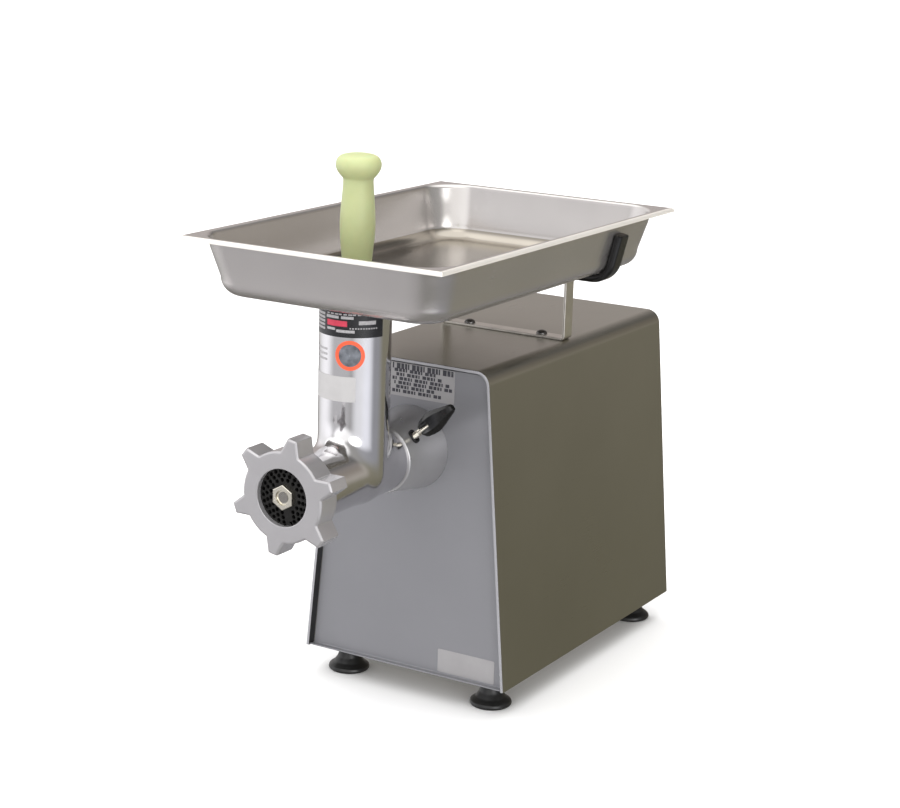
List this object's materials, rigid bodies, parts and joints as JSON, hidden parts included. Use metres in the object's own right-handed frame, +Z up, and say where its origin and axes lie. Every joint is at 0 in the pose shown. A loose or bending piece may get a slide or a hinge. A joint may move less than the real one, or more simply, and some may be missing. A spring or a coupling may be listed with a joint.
{
  "type": "electric meat grinder",
  "caption": "Bench-top stainless electric meat grinder with feed tube, lobed ring nut, plunger, clamped head and lift-off rectangular feed pan.",
  "frame": {"origin": "on the bench, under the centre of the bounding box, at the level of the rubber feet", "axes": "+Z up, -Y towards the outlet, +X to the right of a person facing the outlet"},
  "size_m": [0.325, 0.668, 0.636],
  "materials": {
    "brushed_steel": "brushed stainless sheet",
    "satin_steel": "satin stainless",
    "polished_steel": "polished stainless casting",
    "zinc_steel": "zinc-plated steel",
    "black_rubber": "matt black rubber",
    "black_plastic": "black moulded plastic",
    "blank_label": "blank printed film",
    "dark_screws": "blackened steel",
    "bronze": "sintered bronze",
    "white_plastic": "natural acetal",
    "tool_steel": "ground steel",
    "blued_steel": "dark blued tool steel",
    "cast_aluminium": "die-cast aluminium",
    "painted_motor": "grey paint",
    "core_steel": "laminated core",
    "copper": "varnished copper wire",
    "green_plastic": "green push-button",
    "red_plastic": "red push-button",
    "lime_plastic": "pale lime polyethylene"
  },
  "bodies": {
    "cabinet": {"housing_cover": "brushed_steel", "base_plate": "zinc_steel", "front_panel": "satin_steel", "rear_panel": "brushed_steel", "rear_screws": "zinc_steel", "rubber_feet": "black_rubber", "foot_bolts": "zinc_steel", "cable_gland": "black_plastic", "data_plate": "blank_label", "name_plate": "blank_label", "head_collar": "polished_steel", "collar_bolts": "dark_screws", "clamp_grommet": "black_rubber", "gearbox_housing": "cast_aluminium", "gearbox_cover": "cast_aluminium", "gearbox_screws": "dark_screws", "oil_seal": "black_rubber", "output_bearings": "tool_steel", "counter_bearings": "tool_steel", "motor_front_shield": "cast_aluminium", "motor_rear_shield": "cast_aluminium", "motor_frame": "painted_motor", "motor_stator": "core_steel", "stator_windings": "copper", "motor_screws": "dark_screws", "motor_cradle": "zinc_steel", "motor_bearings": "tool_steel", "fan_cover": "painted_motor", "motor_capacitor": "cast_aluminium", "switch_plate": "black_plastic", "switch_block": "black_plastic", "pan_bracket": "brushed_steel", "bracket_screws": "zinc_steel", "pan_sleeves": "black_rubber"},
    "head": {"grinding_head": "polished_steel", "worm_bush": "bronze", "thrust_washer": "white_plastic", "plate_key": "tool_steel", "tube_labels": "blank_label"},
    "worm": {"worm": "polished_steel", "knife": "tool_steel"},
    "plate": {"hole_plate": "blued_steel", "plate_bush": "tool_steel"},
    "ring_nut": {"ring_nut": "satin_steel"},
    "pan": {"feed_pan": "brushed_steel"},
    "plunger": {"plunger": "lime_plastic"},
    "clamp_pad": {"clamp_pad": "bronze"},
    "clamp": {"clamp_screw": "polished_steel", "clamp_knob": "black_plastic"},
    "rotor": {"motor_rotor": "core_steel", "motor_shaft": "tool_steel", "motor_pinion": "tool_steel", "motor_fan": "black_plastic"},
    "counter": {"countershaft": "tool_steel", "counter_gear": "tool_steel"},
    "output": {"output_shaft": "tool_steel", "output_gear": "tool_steel", "gear_key": "zinc_steel"},
    "start_button": {"start_button": "green_plastic"},
    "stop_button": {"stop_button": "red_plastic"}
  },
  "joints": [
    {"name": "head_slide", "type": "slide", "parent": "cabinet", "child": "head", "axis": [0, -1, 0], "range_m": [0, 0.06]},
    {"name": "worm_spin", "type": "hinge", "parent": "head", "child": "worm", "pos_m": [0, -0.2, 0.295], "axis": [0, 1, 0], "continuous": true},
    {"name": "nut_travel", "type": "slide", "parent": "head", "child": "plate", "axis": [0, -1, 0], "range_m": [0, 0.02251]},
    {"name": "nut_turn", "type": "hinge", "parent": "plate", "child": "ring_nut", "pos_m": [0, -0.32, 0.295], "axis": [0, -1, 0], "range_deg": [0, 2700]},
    {"name": "pan_lift", "type": "slide", "parent": "head", "child": "pan", "axis": [0, 0, 1], "range_m": [0, 0.15]},
    {"name": "plunger_lift", "type": "slide", "parent": "head", "child": "plunger", "axis": [0, 0, 1], "range_m": [0, 0.3]},
    {"name": "clamp_travel", "type": "slide", "parent": "cabinet", "child": "clamp_pad", "axis": [0.766, 0, 0.6428], "range_m": [0, 0.0025]},
    {"name": "clamp_turn", "type": "hinge", "parent": "clamp_pad", "child": "clamp", "pos_m": [0, -0.13, 0.295], "axis": [0.766, 0, 0.6428], "range_deg": [0, 724]},
    {"name": "rotor_spin", "type": "hinge", "parent": "cabinet", "child": "rotor", "pos_m": [0, 0.1, 0.173], "axis": [0, 1, 0], "continuous": true},
    {"name": "counter_spin", "type": "hinge", "parent": "cabinet", "child": "counter", "pos_m": [0, -0.03, 0.227], "axis": [0, 1, 0], "continuous": true},
    {"name": "output_spin", "type": "hinge", "parent": "cabinet", "child": "output", "pos_m": [0, -0.04, 0.295], "axis": [0, 1, 0], "continuous": true},
    {"name": "start_press", "type": "slide", "parent": "cabinet", "child": "start_button", "axis": [0.996, 0, -0.0892], "range_m": [0, 0.003], "stiffness_N_per_m": 400, "springref_m": -0.002},
    {"name": "stop_press", "type": "slide", "parent": "cabinet", "child": "stop_button", "axis": [0.996, 0, -0.0892], "range_m": [0, 0.003], "stiffness_N_per_m": 400, "springref_m": -0.002}
  ],
  "couplings": [
    {"joint": "nut_travel", "follows": "nut_turn", "m_per_rad": 0.00047746},
    {"joint": "clamp_turn", "follows": "clamp_travel", "rad_per_m": 5026.5},
    {"joint": "counter_spin", "follows": "rotor_spin", "ratio": -0.33333},
    {"joint": "output_spin", "follows": "rotor_spin", "ratio": 0.11111},
    {"joint": "worm_spin", "follows": "rotor_spin", "ratio": 0.11111}
  ]
}
